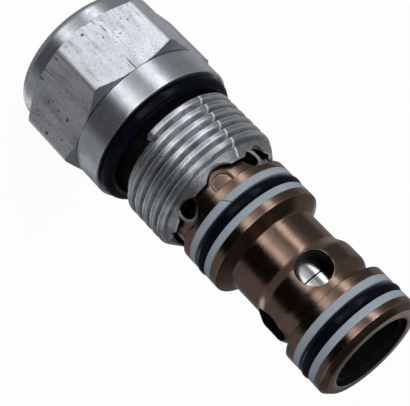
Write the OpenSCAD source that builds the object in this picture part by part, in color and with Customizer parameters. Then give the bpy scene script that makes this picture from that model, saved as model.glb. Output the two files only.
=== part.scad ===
// Three-port screw-in cartridge valve, standing on the end of its hexagon plug with its nose up.
// The valve's axis is Z, and Z = 0 is the flat end of the plug, so every height is a distance from there.

/* [Hexagon plug] */
// Width of the hexagon across its flats
hex_af = 30.2; // [29.5:0.1:30.6]
// Radius that the corners of the hexagon are rounded off to
hex_corner_r = 17.25; // [16.8:0.05:17.4]
// Length of the hexagon
hex_l = 13.65; // [11:0.05:16]
// Radius of the round boss on the end of the plug
boss_r = 15.3; // [15.2:0.05:15.6]
// Length of the round boss
boss_l = 4.35; // [3:0.05:6]
// Radius of the rounding around the end of the boss
boss_round = 2; // [1:0.1:2.5]
// Radius of the collar that meets the manifold
collar_r = 15.35; // [15.3:0.05:15.6]
// Length of the collar
collar_l = 6; // [4:0.1:8]
// Inner radius of the narrow seat face on the collar
seat_in_r = 14.85; // [14.85:0.01:14.95]

/* [Thread and skirt] */
// Outer radius of the thread, 1 1/16 inch
thread_r = 13.49; // [13.4:0.01:13.5]
// Pitch of the thread, 12 to the inch
thread_pitch = 2.117; // [2:0.001:2.2]
// Number of thread ridges
ridge_count = 6; // [5:1:6]
// Radius of the relief between the collar and the thread
relief_r = 11.7; // [11.6:0.05:11.7]
// Distance from the seat face to the end of the skirt
skirt_l = 18.3; // [18:0.05:18.5]
// Radius inside the skirt
skirt_in_r = 11.4; // [11.35:0.05:11.4]
// Number of scallops around the end of the skirt
scallop_count = 8; // [6:1:8]
// Radius of each scallop
scallop_r = 4.2; // [3:0.1:4.4]
// Depth of each scallop
scallop_depth = 1.2; // [0.6:0.1:1.5]

/* [Cage] */
// Radius of the cage around port 3
port_3_zone_r = 10.5; // [10.3:0.05:10.6]
// Radius of land 1, for a 15/16 inch bore
land_1_r = 11.88; // [11.8:0.01:11.9]
// Radius of land 2, for a 7/8 inch bore
land_2_r = 11.08; // [11:0.01:11.1]
// Radius of the neck between the lands
neck_r = 9.3; // [9.1:0.05:9.5]
// Radius of the swelling around port 2
belly_r = 10.25; // [9.8:0.05:10.5]
// Distance from the seat face to land 1
land_1_from_seat = 20.9; // [20.8:0.05:21.2]
// Length of land 1
land_1_l = 8.85; // [8.6:0.05:9]
// Length of the cone from land 1 to the neck
land_1_cone_l = 1.7; // [1.4:0.1:2]
// Distance from the seat face to land 2
land_2_from_seat = 47.65; // [47.5:0.05:47.8]
// Distance from the seat face to the nose face
nose_from_seat = 57.4; // [57.2:0.05:57.6]
// Size of the chamfer around the nose
nose_chamfer = 1.1; // [0.8:0.1:1.2]
// Radius of the mouth of the nose bore
mouth_r = 8.1; // [7.8:0.05:8.4]
// Depth of the mouth of the nose bore
mouth_depth = 0.8; // [0.5:0.1:1.2]
// Radius of the bore that the spool slides in
spool_bore_r = 7.05; // [7.04:0.01:7.08]
// Radius of the spring chamber in the cage
chamber_r = 8.25; // [8.23:0.01:8.28]

/* [Ports] */
// Distance from the seat face to the port 2 holes
port_2_from_seat = 42.25; // [42:0.05:42.5]
// Radius of the port 2 holes
port_2_r = 3.45; // [3.2:0.05:3.6]
// Distance from the seat face to the port 3 holes
port_3_from_seat = 17.7; // [17.5:0.05:17.9]
// Radius of the port 3 holes
port_3_r = 2.1; // [1.8:0.05:2.2]
// Distance from the seat face to the blind pockets
pocket_from_seat = 19.6; // [19.5:0.05:19.8]
// Radius of the blind pockets
pocket_r = 1.9; // [1.6:0.05:2]
// Depth of the blind pockets
pocket_depth = 0.9; // [0.6:0.05:1]
// Number of holes around each port
port_count = 4; // [4:1:4]

/* [Seals] */
// Thickness of the O-ring under the collar
flange_ring_d = 2.95; // [2.8:0.05:3]
// Width of the seal groove in each land
groove_w = 5.45; // [5.4:0.05:5.5]
// Thickness of the O-ring in each land
land_ring_d = 2.5; // [2.4:0.05:2.52]
// Width of a back-up ring
back_up_w = 1.45; // [1.4:0.01:1.46]
// How far the land O-rings stand out of their lands
proud = 0.18; // [0.1:0.01:0.2]
// Width of the slanting cut in a back-up ring
scarf_w = 0.14; // [0.1:0.01:0.2]

/* [Spool and spring] */
// Radius of the spool
spool_r = 7; // [6.98:0.01:7]
// Radius of the spool's head
head_r = 8.15; // [8.12:0.01:8.16]
// Length of the spool's head
head_l = 3.5; // [3:0.1:4]
// Length of the spool below its head
spool_l = 17.1; // [16.6:0.1:17.4]
// How far the spool travels
stroke = 6; // [5:0.5:6]
// Diameter of the spring wire
wire_d = 1.7; // [1.5:0.05:1.8]
// Radius from the axis to the middle of the spring wire
coil_r = 6.6; // [6.5:0.05:6.7]
// Number of turns in the spring
coil_turns = 10; // [8:1:11]

/* [Hidden] */
$fn = 96;
eps = 0.01;
fit = 0.05;

// Heights along the plug
hex_z = boss_l;
collar_z = hex_z + hex_l;
seat_z = collar_z + collar_l;
seat_recess = 0.5;
seat_chamfer = 0.15;
collar_groove_w = 0.2;
collar_groove_depth = 0.3;
edge_angle = 30;
root_r = thread_r - 0.6134 * thread_pitch;
crest_w = thread_pitch / 8;
ridge_foot_w = crest_w + 2 * (thread_r - root_r) * tan(30);
first_ridge_z = seat_z + 4.6;
skirt_end_z = seat_z + skirt_l;
skirt_cone_z = seat_z + 16;
skirt_rim_r = 11.6;
plug_bore_r = 8.6;
plug_floor_z = 8;
shoulder_z = seat_z + 4.65;
scallop_turn = 7.5;

// Heights along the cage
flange_r = 11.25;
flange_z = shoulder_z + fit;
flange_l = 1.45;
snap_wire_d = 1;
snap_z = flange_z + flange_l + fit + snap_wire_d / 2;
snap_groove_r = 11.75;
land_1_z = seat_z + land_1_from_seat;
neck_z = land_1_z + land_1_l + land_1_cone_l;
land_2_z = seat_z + land_2_from_seat;
nose_z = seat_z + nose_from_seat;
groove_1_z = seat_z + 22.6;
groove_2_z = seat_z + 49.5;
groove_1_r = land_1_r + proud - land_ring_d - 0.02;
groove_2_r = land_2_r + proud - land_ring_d - 0.02;
port_2_z = seat_z + port_2_from_seat;
port_3_z = seat_z + port_3_from_seat;
pocket_z = seat_z + pocket_from_seat;
port_2_turn = 3;
port_3_turn = 55;
pocket_turn = 10;
rim_w = 0.6;

// Heights along the spool, at rest on the step in the cage
step_z = seat_z + 29.9;
head_z = step_z - fit - head_l;
spool_end_z = step_z - fit + spool_l;
guide_flange_l = 1.2;
guide_stub_l = 4;
guide_z = head_z - guide_flange_l;
guide_r = 7.6;
stub_r = 5.5;
spigot_r = 2.9;
spigot_l = 2.5;
thick_shim_l = 1;
thin_shim_l = 0.5;
shim_r = 8.4;
seat_flange_l = 1.4;
seat_flange_z = plug_floor_z + thick_shim_l + thin_shim_l;
spring_z = seat_flange_z + seat_flange_l;
pin_r = 3;
pin_foot_z = spring_z - 1;
pin_end_z = guide_z - guide_stub_l - stroke - fit;
balance_groove_w = 0.26;
balance_groove_depth = 0.5;
balance_groove_z = [seat_z + 33.2, seat_z + 37.8, seat_z + 42.4];
spool_mouth_r = 5;
orifice_thread_r = 2.5;
orifice_z = head_z + 6.6;
screen_z = orifice_z + 3.95;
screen_l = 0.6;
clip_z = screen_z + screen_l + 0.05;
clip_l = 0.7;

aluminium = "#b4b8bc";
bronze = "#6b4a3a";
black_rubber = "#15171d";
ptfe = "#c9cdce";
steel = "#9da1a4";
spring_steel = "#55585c";

// Points along an arc from angle a to angle b around (x, y)
function arc(x, y, r, a, b, n = 8) = [for (i = [0:n]) let (t = a + (b - a) * i / n) [x + r * cos(t), y + r * sin(t)]];

// Points along a smooth rise or fall from (r0, z0) to (r1, z1)
function blend(r0, z0, r1, z1, n = 6) =
    [for (i = [0:n]) [r0 + (r1 - r0) * (1 - cos(180 * i / n)) / 2, z0 + (z1 - z0) * i / n]];

// A ring with a rectangular section
module ring(out_r, in_r, z, l) {
    translate([0, 0, z]) difference() {
        cylinder(h = l, r = out_r);
        translate([0, 0, -1]) cylinder(h = l + 2, r = in_r);
    }
}

// A ring with a round section, centred at height z
module o_ring(mid_r, d, z) {
    translate([0, 0, z]) rotate_extrude() translate([mid_r, 0]) circle(d = d, $fn = 48);
}

// Copies of what follows, turned around the axis and laid so that they point outwards
module around(count, turn) {
    for (i = [0:count - 1]) rotate([0, 0, turn + i * 360 / count]) rotate([0, 90, 0]) children();
}

// The turned outside of the plug, without its hexagon
module plug_turning() {
    ridges = [for (i = [0:ridge_count - 2], p = [[root_r, -ridge_foot_w / 2], [thread_r, -crest_w / 2],
        [thread_r, crest_w / 2], [root_r, ridge_foot_w / 2]]) [p[0], first_ridge_z + i * thread_pitch + p[1]]];
    last_ridge_z = first_ridge_z + (ridge_count - 1) * thread_pitch;
    rotate_extrude() polygon(concat(
        [[0, 0]],
        arc(boss_r - boss_round, boss_round, boss_round, -90, 0),
        [[boss_r, hex_z], [hex_af / 2 - 0.1, hex_z], [hex_af / 2 - 0.1, collar_z - collar_groove_w],
        [collar_r - collar_groove_depth - 0.25, collar_z - collar_groove_w],
        [collar_r - collar_groove_depth - 0.25, collar_z], [collar_r, collar_z],
        [collar_r, seat_z - seat_chamfer], [collar_r - seat_chamfer, seat_z], [seat_in_r, seat_z],
        [seat_in_r - 0.1, seat_z - seat_recess], [relief_r, seat_z - seat_recess],
        [relief_r, first_ridge_z - 1.1], [root_r, first_ridge_z - 1]],
        ridges,
        [[root_r, last_ridge_z - ridge_foot_w / 2], [thread_r, last_ridge_z - crest_w / 2],
        [thread_r, last_ridge_z + crest_w / 2], [thread_r - 0.4, skirt_cone_z],
        [skirt_rim_r, skirt_end_z - 0.15], [skirt_rim_r - 0.15, skirt_end_z], [0, skirt_end_z]]));
}

// The hexagon, with the cone of a turned chamfer at both ends and rounded corners
module hexagon() {
    rise = (hex_corner_r - boss_r) * tan(edge_angle);
    intersection() {
        translate([0, 0, hex_z]) cylinder(h = hex_l - collar_groove_w, r = hex_af / 2 / cos(30), $fn = 6);
        rotate_extrude() polygon([[0, hex_z], [boss_r, hex_z], [hex_corner_r, hex_z + rise],
            [hex_corner_r, collar_z - collar_groove_w - rise], [boss_r, collar_z - collar_groove_w],
            [0, collar_z - collar_groove_w]]);
    }
}

// Plug of bright aluminium: boss, hexagon, collar, thread and scalloped skirt in one piece
module hex_plug() {
    color(aluminium) difference() {
        union() {
            plug_turning();
            hexagon();
        }
        translate([0, 0, plug_floor_z]) cylinder(h = nose_z, r = plug_bore_r);
        translate([0, 0, shoulder_z]) cylinder(h = nose_z, r = skirt_in_r);
        translate([0, 0, snap_z - snap_wire_d / 2 - fit])
            cylinder(h = snap_wire_d + 2 * fit, r = snap_groove_r);
        translate([0, 0, skirt_end_z - scallop_depth + scallop_r]) around(scallop_count, scallop_turn)
            cylinder(h = collar_r, r = scallop_r);
    }
}

// Black O-ring under the collar
module flange_o_ring() {
    color(black_rubber) o_ring(relief_r + flange_ring_d / 2 + 0.02, flange_ring_d,
        seat_z - seat_recess + flange_ring_d / 2 + 0.02);
}

// Round-wire snap ring that holds the cage in the skirt and lets it float
module cage_snap_ring() {
    mid_r = snap_groove_r - fit - snap_wire_d / 2;
    color(spring_steel) translate([0, 0, snap_z]) rotate([0, 0, 15]) rotate_extrude(angle = 330)
        translate([mid_r, 0]) circle(d = snap_wire_d, $fn = 32);
}

// The turned outside of the cage
module cage_turning() {
    edge = 0.1;
    rotate_extrude() polygon(concat(
        [[0, flange_z], [flange_r, flange_z], [flange_r, flange_z + flange_l],
        [port_3_zone_r, flange_z + flange_l], [port_3_zone_r, land_1_z], [land_1_r - edge, land_1_z],
        [land_1_r, land_1_z + edge], [land_1_r, groove_1_z], [groove_1_r, groove_1_z],
        [groove_1_r, groove_1_z + groove_w], [land_1_r, groove_1_z + groove_w],
        [land_1_r, land_1_z + land_1_l], [neck_r + 0.15, neck_z - 0.1], [neck_r, neck_z]],
        blend(neck_r, port_2_z - 4.3, belly_r, port_2_z - 1.5),
        blend(belly_r, port_2_z + 1.7, neck_r, port_2_z + 4.2),
        [[neck_r, land_2_z], [land_2_r - edge, land_2_z], [land_2_r, land_2_z + edge], [land_2_r, groove_2_z],
        [groove_2_r, groove_2_z], [groove_2_r, groove_2_z + groove_w], [land_2_r, groove_2_z + groove_w],
        [land_2_r, nose_z - nose_chamfer], [land_2_r - nose_chamfer, nose_z], [0, nose_z]]));
}

// The stepped bore through the cage
module cage_bore() {
    rotate_extrude() polygon([[0, flange_z - 1], [chamber_r, flange_z - 1], [chamber_r, step_z],
        [spool_bore_r, step_z], [spool_bore_r, nose_z - mouth_depth - 0.1], [mouth_r - 0.25, nose_z - mouth_depth],
        [mouth_r, nose_z - mouth_depth + 0.1], [mouth_r, nose_z + 1], [0, nose_z + 1]]);
}

// A flat-bottomed round pocket with a chamfered rim, cut short by the shoulder of land 1
module pocket() {
    intersection() {
        translate([0, 0, pocket_z]) around(1, 0) union() {
            translate([0, 0, port_3_zone_r - pocket_depth]) cylinder(h = pocket_depth + 1, r = pocket_r);
            translate([0, 0, port_3_zone_r - rim_w]) cylinder(h = 2 * rim_w, r1 = pocket_r, r2 = pocket_r + 2 * rim_w);
        }
        translate([0, -collar_r, pocket_z - collar_r])
            cube([2 * collar_r, 2 * collar_r, land_1_z - 0.05 - pocket_z + collar_r]);
    }
}

// Steel cage, coated bronze brown: two sealing lands, four port 2 holes and four port 3 holes
module cage() {
    color(bronze) difference() {
        cage_turning();
        cage_bore();
        translate([0, 0, port_2_z]) around(port_count, port_2_turn) union() {
            translate([0, 0, neck_r - 4]) cylinder(h = collar_r, r = port_2_r);
            translate([0, 0, belly_r - 0.25]) cylinder(h = 1, r1 = port_2_r, r2 = port_2_r + 1);
        }
        translate([0, 0, port_3_z]) around(port_count, port_3_turn) union() {
            translate([0, 0, neck_r - 4]) cylinder(h = collar_r, r = port_3_r);
            translate([0, 0, port_3_zone_r - rim_w]) cylinder(h = 2 * rim_w, r1 = port_3_r, r2 = port_3_r + 2 * rim_w);
        }
        for (i = [0:port_count - 1]) rotate([0, 0, pocket_turn + i * 360 / port_count]) pocket();
    }
}

// Black O-ring in a land's groove
module land_o_ring(in_r, z) {
    color(black_rubber) o_ring(in_r + 0.02 + land_ring_d / 2, land_ring_d, z + groove_w / 2);
}

// White back-up ring with a slanting cut through it
module back_up_ring(out_r, in_r, z, turn) {
    color(ptfe) difference() {
        ring(out_r - 0.01, in_r + 0.02, z, back_up_w);
        rotate([0, 0, turn]) translate([(out_r + in_r) / 2, 0, z + back_up_w / 2]) rotate([35, 0, 0])
            cube([6, scarf_w, 4 * back_up_w], center = true);
    }
}

module land_1_o_ring() {
    land_o_ring(groove_1_r, groove_1_z);
}

module land_1_plug_side_back_up_ring() {
    back_up_ring(land_1_r, groove_1_r, groove_1_z + eps, -70);
}

module land_1_nose_side_back_up_ring() {
    back_up_ring(land_1_r, groove_1_r, groove_1_z + groove_w - back_up_w - eps, 100);
}

module land_2_o_ring() {
    land_o_ring(groove_2_r, groove_2_z);
}

module land_2_plug_side_back_up_ring() {
    back_up_ring(land_2_r, groove_2_r, groove_2_z + eps, 60);
}

module land_2_nose_side_back_up_ring() {
    back_up_ring(land_2_r, groove_2_r, groove_2_z + groove_w - back_up_w - eps, 150);
}

module thick_preload_shim() {
    color(steel) ring(shim_r, pin_r + 0.2, plug_floor_z, thick_shim_l);
}

module thin_preload_shim() {
    color(steel) ring(shim_r, pin_r + 0.2, plug_floor_z + thick_shim_l, thin_shim_l);
}

// Seat that centres the spring in the plug and holds the stop pin
module spring_seat() {
    color(steel) difference() {
        union() {
            translate([0, 0, seat_flange_z]) cylinder(h = seat_flange_l, r = shim_r);
            translate([0, 0, seat_flange_z]) cylinder(h = seat_flange_l + 3.6, r = stub_r);
            translate([0, 0, seat_flange_z]) cylinder(h = seat_flange_l + 4, r = stub_r - 0.4);
        }
        translate([0, 0, pin_foot_z]) cylinder(h = 2 * guide_stub_l, r = pin_r);
    }
}

// Pin that the spring guide meets at the end of the spool's stroke
module stroke_stop_pin() {
    color(steel) translate([0, 0, pin_foot_z + eps]) union() {
        cylinder(h = pin_end_z - pin_foot_z - 0.4, r = pin_r - eps);
        translate([0, 0, pin_end_z - pin_foot_z - 0.4 - eps]) cylinder(h = 0.4, r1 = pin_r - eps, r2 = pin_r - 0.4);
    }
}

// Helical spring with one closed turn at each end
module bias_spring() {
    sides = 8;
    steps = 24 * coil_turns;
    free_l = guide_z - spring_z - wire_d - 0.1;
    closed_l = wire_d * 1.04;
    // Height of the wire's middle after t turns
    function wire_z(t) = t < 1 ? closed_l * t
        : t > coil_turns - 1 ? free_l - closed_l * (coil_turns - t)
        : closed_l + (free_l - 2 * closed_l) * (t - 1) / (coil_turns - 2);
    function section(t) = [for (s = [0:sides - 1])
        let (a = 360 * s / sides, r = coil_r + wire_d / 2 * cos(a))
        [r * cos(360 * t), r * sin(360 * t), wire_z(t) + wire_d / 2 * sin(a)]];
    points = [for (i = [0:steps], p = section(i * coil_turns / steps)) p];
    walls = [for (i = [0:steps - 1], s = [0:sides - 1])
        [i * sides + s, i * sides + (s + 1) % sides, (i + 1) * sides + (s + 1) % sides, (i + 1) * sides + s]];
    ends = [[for (s = [0:sides - 1]) sides - 1 - s], [for (s = [0:sides - 1]) steps * sides + s]];
    color(spring_steel) translate([0, 0, spring_z + wire_d / 2 + 0.05])
        polyhedron(points = points, faces = concat(walls, ends), convexity = 12);
}

// Guide between the spring and the spool's head, drilled for the pilot flow
module spring_guide() {
    color(steel) difference() {
        union() {
            translate([0, 0, guide_z - guide_stub_l]) cylinder(h = guide_stub_l + 1, r = stub_r - 0.3);
            translate([0, 0, guide_z]) cylinder(h = guide_flange_l - eps, r = guide_r);
            translate([0, 0, guide_z]) cylinder(h = guide_flange_l + spigot_l, r = spigot_r);
        }
        translate([0, 0, guide_z - guide_stub_l - 1]) cylinder(h = 20, r = 1.2);
        translate([0, 0, guide_z - guide_stub_l - 0.5]) around(2, 0) cylinder(h = 10, r = 1.3);
    }
}

// Hollow steel spool: its head rests on the step in the cage and its land shuts port 2
module spool() {
    color(steel) difference() {
        rotate_extrude() polygon(concat(
            [[0, head_z], [head_r - 0.3, head_z], [head_r, head_z + 0.3], [head_r, head_z + head_l - 0.1],
            [head_r - 0.1, head_z + head_l], [spool_r, head_z + head_l]],
            [for (z = balance_groove_z, p = [[spool_r, 0], [spool_r - balance_groove_depth, 0],
                [spool_r - balance_groove_depth, balance_groove_w], [spool_r, balance_groove_w]]) [p[0], z + p[1]]],
            [[spool_r, spool_end_z - 0.4], [spool_r - 0.4, spool_end_z], [0, spool_end_z]]));
        translate([0, 0, head_z - 1]) cylinder(h = 1 + spigot_l + 0.2, r = spigot_r + eps);
        translate([0, 0, head_z]) cylinder(h = spool_l, r = 1.2);
        translate([0, 0, orifice_z]) cylinder(h = spool_l, r = orifice_thread_r + eps);
        translate([0, 0, screen_z]) cylinder(h = spool_l, r = spool_mouth_r);
        translate([0, 0, clip_z]) cylinder(h = clip_l + 0.1, r = spool_mouth_r + 0.4);
    }
}

// Screw with a fine hole that feeds the spring chamber
module orifice_screw() {
    color(steel) difference() {
        translate([0, 0, orifice_z + eps]) cylinder(h = screen_z - orifice_z - 0.15, r = orifice_thread_r);
        translate([0, 0, orifice_z - 1]) cylinder(h = 6, r = 0.4);
        translate([0, 0, screen_z - 1.9]) cylinder(h = 3, r = 1.3, $fn = 6);
    }
}

// Thin perforated disc that keeps dirt out of the orifice
module filter_screen() {
    hole_spacing = 1.5;
    color(steel) difference() {
        translate([0, 0, screen_z + eps]) cylinder(h = screen_l, r = spool_mouth_r - fit);
        for (ring = [1:2], i = [0:6 * ring - 1]) rotate([0, 0, i * 60 / ring])
            translate([ring * hole_spacing, 0, screen_z - 1]) cylinder(h = 3, r = 0.4);
        translate([0, 0, screen_z - 1]) cylinder(h = 3, r = 0.4);
    }
}

// Open clip that holds the screen in the spool
module filter_clip() {
    color(spring_steel) translate([0, 0, clip_z + eps]) difference() {
        cylinder(h = clip_l, r = spool_mouth_r + 0.3);
        translate([0, 0, -1]) cylinder(h = clip_l + 2, r = spool_mouth_r - 0.7);
        translate([0, -1.2, -1]) cube([10, 2.4, clip_l + 2]);
    }
}

hex_plug();
flange_o_ring();
cage_snap_ring();
cage();
land_1_o_ring();
land_1_plug_side_back_up_ring();
land_1_nose_side_back_up_ring();
land_2_o_ring();
land_2_plug_side_back_up_ring();
land_2_nose_side_back_up_ring();
thick_preload_shim();
thin_preload_shim();
spring_seat();
stroke_stop_pin();
bias_spring();
spring_guide();
spool();
orifice_screw();
filter_screen();
filter_clip();
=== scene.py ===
# %% [markdown]
# # A screw-in cartridge valve, modelled and lit
# The valve stands on the end of its hexagon plug with its nose up, and Z is its axis. The construction model
# is loaded first, as a fixed frame: it gives every piece its place, and the pieces that show most are then
# modelled again here with softer edges, a real helical thread and round wire.

# %% Load the frame
import math

import bmesh
import bpy
from mathutils import Matrix, Vector


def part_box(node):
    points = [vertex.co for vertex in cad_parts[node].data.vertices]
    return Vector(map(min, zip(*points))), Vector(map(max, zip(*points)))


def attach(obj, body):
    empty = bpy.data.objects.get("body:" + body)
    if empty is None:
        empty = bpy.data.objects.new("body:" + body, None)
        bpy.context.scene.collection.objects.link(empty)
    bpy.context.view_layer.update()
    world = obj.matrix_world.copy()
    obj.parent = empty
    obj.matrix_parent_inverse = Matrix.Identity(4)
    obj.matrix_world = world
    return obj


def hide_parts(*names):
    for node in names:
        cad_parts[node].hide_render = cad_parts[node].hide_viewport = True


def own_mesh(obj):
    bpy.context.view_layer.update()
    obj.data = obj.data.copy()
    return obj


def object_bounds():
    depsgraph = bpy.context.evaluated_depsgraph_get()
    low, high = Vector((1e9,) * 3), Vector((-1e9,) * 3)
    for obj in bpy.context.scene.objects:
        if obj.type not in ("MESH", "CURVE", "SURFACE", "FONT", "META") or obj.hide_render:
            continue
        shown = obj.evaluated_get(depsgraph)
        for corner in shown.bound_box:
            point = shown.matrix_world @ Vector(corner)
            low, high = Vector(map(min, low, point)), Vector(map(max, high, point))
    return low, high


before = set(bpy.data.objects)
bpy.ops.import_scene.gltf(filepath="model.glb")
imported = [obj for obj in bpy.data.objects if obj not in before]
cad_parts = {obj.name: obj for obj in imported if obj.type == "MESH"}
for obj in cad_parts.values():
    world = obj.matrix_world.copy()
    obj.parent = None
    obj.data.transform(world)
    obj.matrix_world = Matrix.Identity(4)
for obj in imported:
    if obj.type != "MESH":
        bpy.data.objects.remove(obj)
cad_low, cad_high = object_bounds()
scene = bpy.context.scene
scene.view_settings.view_transform = "Standard"
MM = 0.001
print("nodes:", len(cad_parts), "height in mm:", round(cad_high.z / MM, 2))

# %% [markdown]
# ## Camera
# A long lens, a little over three valve lengths away, keeps the lands and the hexagon in proportion. The
# camera is rolled about its view, so that a valve that stands upright lies across the picture, nose down to
# the right. A rolled camera is simpler than a tilted object, because every piece can stay square to the axes.

# %% Camera
camera = bpy.data.objects.new("camera", bpy.data.cameras.new("camera"))
scene.collection.objects.link(camera)
camera.location = (0.087166, -0.235641, 0.146201)
camera.rotation_euler = [math.radians(angle) for angle in (-59.6607, -39.5098, 179.1962)]
camera.data.sensor_width = 36
camera.data.lens = 131.7
camera.data.clip_start = 0.01
scene.camera = camera
camera_azimuth = math.degrees(math.atan2(camera.location.y, camera.location.x))
print("camera azimuth:", round(camera_azimuth, 1))

# %% [markdown]
# ## Studio
# Bright metal has almost no colour of its own, and shows what stands around it. A wall that faces `a`
# degrees away from the camera mirrors what stands `2a` degrees round, so a ring of tall grey cards draws the
# long dark and light bands that make a turned cylinder look like metal. Lamps alone would leave it flat. The
# cards stand all the way round and are seen only in reflections. Each zone is split by height, because the
# camera looks down on the valve, and each part of the valve mirrors a different height. The floor is left
# out of reflections, because upright walls seen from above would mirror nothing else.

# %% Stage helpers
def new_material(name):
    """A material with nodes, and its Principled shader."""
    material = bpy.data.materials.new(name)
    material.use_nodes = True
    return material, material.node_tree.nodes["Principled BSDF"]


def stage_piece(name, bm, material):
    """A mesh that belongs to the studio and not to the valve."""
    mesh = bpy.data.meshes.new(name)
    bm.to_mesh(mesh)
    bm.free()
    mesh.materials.append(material)
    piece = bpy.data.objects.new(name, mesh)
    scene.collection.objects.link(piece)
    return piece


def glowing(name, brightness):
    """A plain material that gives off an even grey light."""
    material, shader = new_material(name)
    tree = material.node_tree
    tree.nodes.remove(shader)
    glow = tree.nodes.new("ShaderNodeEmission")
    glow.inputs["Color"].default_value = (0.96, 0.98, 1, 1)
    glow.inputs["Strength"].default_value = brightness
    tree.links.new(glow.outputs["Emission"], tree.nodes["Material Output"].inputs["Surface"])
    return material


def reflected_only(piece):
    """Keep a card out of sight of everything but glossy rays."""
    piece.visible_camera = piece.visible_diffuse = piece.visible_shadow = False
    piece.visible_transmission = piece.visible_volume_scatter = False


# %% Cards around the valve
card_distance = 0.6
card_reach = 0.55


def card(name, first, last, low, high, brightness):
    """A tall curved card, mirrored by the walls that face from `first` to `last` degrees off the camera."""
    bm = bmesh.new()
    start = Matrix.Rotation(math.radians(camera_azimuth - 2 * first), 4, "Z")
    ends = [bm.verts.new(start @ Vector((card_distance, 0, z))) for z in (low, high)]
    edge = bm.edges.new(ends)
    sweep = math.radians(2 * (first - last))
    bmesh.ops.spin(bm, geom=[*ends, edge], cent=(0, 0, 0), axis=(0, 0, 1), angle=sweep, steps=12)
    reflected_only(stage_piece(name, bm, glowing(name + "_glow", brightness)))


# Each row of cards is mirrored by one part of the valve, and the thread mirrors the collar's and the cage's
rows = [
    ("boss", -card_reach, -0.31),
    ("collar", -0.31, -0.23),
    ("cage", -0.23, -0.06),
    ("upper", -0.06, card_reach),
]
zones = [
    ("behind_left", -90, -75, (0.28, 0.28, 0.2, 0.12)),
    ("back_left", -75, -60, (1.1, 0.23, 0.16, 0.09)),
    ("left", -60, -35, (0.25, 0.25, 0.19, 0.25)),
    ("dark", -35, -4, (0.006, 0.006, 0.006, 0.006)),
    ("front_light", -4, 4.5, (1.65, 1.65, 1.65, 1.65)),
    ("near_strip", 4.5, 13, (0.6, 0.6, 0.6, 0.6)),
    ("between", 13, 21, (0.26, 0.4, 0.24, 0.26)),
    ("strip_light", 21, 27.5, (2.3, 2.3, 2.3, 2.3)),
    ("past_strip", 27.5, 36, (0.45, 0.38, 0.22, 0.22)),
    ("right", 36, 60, (0.2, 0.26, 0.085, 0.16)),
    ("back_right", 60, 82, (0.34, 0.36, 0.26, 0.16)),
    ("behind_right", 82, 90, (0.34, 0.36, 0.28, 0.38)),
]
for zone, first, last, levels in zones:
    for (row, low, high), brightness in zip(rows, levels):
        card(f"card_{zone}_{row}", first, last, low, high, brightness)
print("cards:", len(zones) * len(rows))

# %% Ceiling card and lower card
for name, height, brightness in (("card_ceiling", card_reach, 0.03), ("card_below", -card_reach, 0.2)):
    bm = bmesh.new()
    bmesh.ops.create_circle(bm, cap_ends=True, segments=48, radius=card_distance)
    bmesh.ops.translate(bm, verts=bm.verts, vec=(0, 0, height))
    reflected_only(stage_piece(name, bm, glowing(name + "_glow", brightness)))

# %% Floor
floor_material, floor_shader = new_material("pale_floor")
floor_shader.inputs["Base Color"].default_value = (0.9, 0.9, 0.9, 1)
floor_shader.inputs["Roughness"].default_value = 0.9
floor_nodes, floor_links = floor_material.node_tree.nodes, floor_material.node_tree.links
seen = floor_nodes.new("ShaderNodeLightPath")
white = floor_nodes.new("ShaderNodeEmission")
white.inputs["Color"].default_value = (1, 1, 1, 1)
mostly = floor_nodes.new("ShaderNodeMath")
mostly.operation = "MULTIPLY"
mostly.inputs[1].default_value = 0.96
blended = floor_nodes.new("ShaderNodeMixShader")
floor_links.new(seen.outputs["Is Camera Ray"], mostly.inputs[0])
floor_links.new(mostly.outputs[0], blended.inputs["Fac"])
floor_links.new(floor_shader.outputs["BSDF"], blended.inputs[1])
floor_links.new(white.outputs["Emission"], blended.inputs[2])
floor_links.new(blended.outputs["Shader"], floor_nodes["Material Output"].inputs["Surface"])
bm = bmesh.new()
floor_radius, floor_height = 1.2, -0.00003
bmesh.ops.create_circle(bm, cap_ends=True, segments=96, radius=floor_radius)
bmesh.ops.translate(bm, verts=bm.verts, vec=(0, 0, floor_height))
floor = stage_piece("floor", bm, floor_material)
floor.visible_glossy = False
print("floor radius in m:", floor_radius)

# %% World
world = bpy.data.worlds.new("studio")
scene.world = world
world.use_nodes = True
world_nodes, world_links = world.node_tree.nodes, world.node_tree.links
world_nodes.clear()
path = world_nodes.new("ShaderNodeLightPath")
sees_white = path.outputs["Is Camera Ray"]
for ray in ("Is Glossy Ray", "Is Transmission Ray"):
    either = world_nodes.new("ShaderNodeMath")
    either.operation = "MAXIMUM"
    world_links.new(sees_white, either.inputs[0])
    world_links.new(path.outputs[ray], either.inputs[1])
    sees_white = either.outputs["Value"]
soft, plain, pick = [world_nodes.new(kind) for kind in
                     ("ShaderNodeBackground", "ShaderNodeBackground", "ShaderNodeMixShader")]
soft.inputs["Color"].default_value = (0.92, 0.96, 1, 1)
soft.inputs["Strength"].default_value = 0.4
plain.inputs["Color"].default_value = (1, 1, 1, 1)
world_links.new(sees_white, pick.inputs["Fac"])
world_links.new(soft.outputs["Background"], pick.inputs[1])
world_links.new(plain.outputs["Background"], pick.inputs[2])
world_links.new(pick.outputs["Shader"], world_nodes.new("ShaderNodeOutputWorld").inputs["Surface"])

# %% Lamps
def lamp(name, facing, elevation, distance, size, watts):
    """A square soft box that lights the walls that face `facing` degrees off the camera."""
    data = bpy.data.lights.new(name, "AREA")
    data.size, data.energy = size, watts
    box = bpy.data.objects.new(name, data)
    scene.collection.objects.link(box)
    turn, rise = math.radians(camera_azimuth - facing), math.radians(elevation)
    out = Vector((math.cos(turn) * math.cos(rise), math.sin(turn) * math.cos(rise), math.sin(rise)))
    centre = (cad_low + cad_high) / 2
    box.location = centre + distance * out
    box.rotation_euler = out.to_track_quat("Z", "Y").to_euler()
    box.visible_glossy = False


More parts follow.
